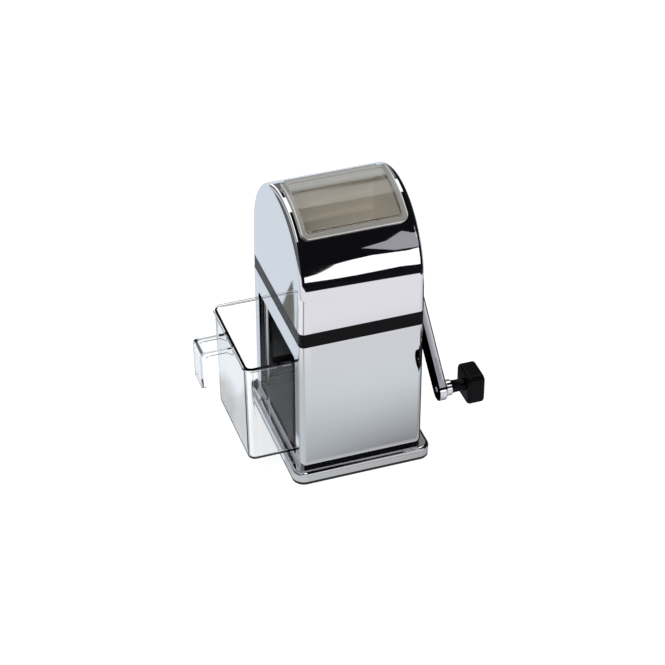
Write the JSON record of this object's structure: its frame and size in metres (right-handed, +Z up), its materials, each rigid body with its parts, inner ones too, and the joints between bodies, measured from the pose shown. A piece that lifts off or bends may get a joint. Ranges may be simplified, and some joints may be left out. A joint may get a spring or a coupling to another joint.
{
  "type": "hand crank ice crusher",
  "caption": "Hand crank ice crusher: chromed arched tower with a clear hinged lid, a side crank with a black knob, and a clear pull-out drawer.",
  "frame": {"origin": "on the table, under the middle of the tower", "axes": "+Z up, +X towards the crank side, -Y towards the large front face under the lid's low edge"},
  "size_m": [0.2299, 0.1776, 0.263],
  "materials": {
    "chromed_metal": "mirror bright plated",
    "steel_shaft": "turned",
    "blade_steel": "ground",
    "black_band": "semi-gloss moulded",
    "black_knob": "high gloss moulded",
    "black_rubber": "matt",
    "clear_lid": "clear moulded plastic",
    "clear_drawer": "clear moulded plastic",
    "ivory_hopper": "satin moulded",
    "grey_guide": "satin moulded",
    "bronze_bush": "plain bearing",
    "zinc_screw": "zinc plated"
  },
  "bodies": {
    "housing": {"foot_pad": "black_rubber", "base_plate": "chromed_metal", "base_screws": "zinc_screw", "lower_housing": "chromed_metal", "drawer_guide": "grey_guide", "middle_band": "black_band", "band_screws": "zinc_screw", "housing_screws": "zinc_screw", "upper_housing": "chromed_metal", "lid_hinge_pin": "steel_shaft", "hopper": "ivory_hopper", "left_cheek": "grey_guide", "right_cheek": "grey_guide", "cheek_screws": "zinc_screw", "left_bush": "bronze_bush", "right_bush": "bronze_bush", "front_comb": "blade_steel", "rear_comb": "blade_steel", "shaft_collar": "black_band"},
    "crank": {"crusher_shaft": "steel_shaft", "rotor_blades": "blade_steel", "rotor_spacers": "steel_shaft", "shaft_clip": "blade_steel", "crank_arm": "chromed_metal", "crank_washer": "zinc_screw", "crank_screw": "zinc_screw", "knob_pin": "steel_shaft"},
    "knob": {"knob_ferrule": "chromed_metal", "knob": "black_knob"},
    "lid": {"lid": "clear_lid"},
    "drawer": {"drawer": "clear_drawer"}
  },
  "joints": [
    {"name": "crank_turn", "type": "hinge", "parent": "housing", "child": "crank", "pos_m": [0, 0, 0.171], "axis": [1, 0, 0], "continuous": true},
    {"name": "knob_spin", "type": "hinge", "parent": "crank", "child": "knob", "pos_m": [0.09, -0.08864, 0.08863], "axis": [1, 0, 0], "continuous": true},
    {"name": "lid_hinge", "type": "hinge", "parent": "housing", "child": "lid", "pos_m": [0, 0.01577, 0.25626], "axis": [-1, 0, 0], "range_deg": [0, 100]},
    {"name": "drawer_slide", "type": "slide", "parent": "housing", "child": "drawer", "axis": [-1, 0, 0], "range_m": [-0.044, 0.045]}
  ]
}
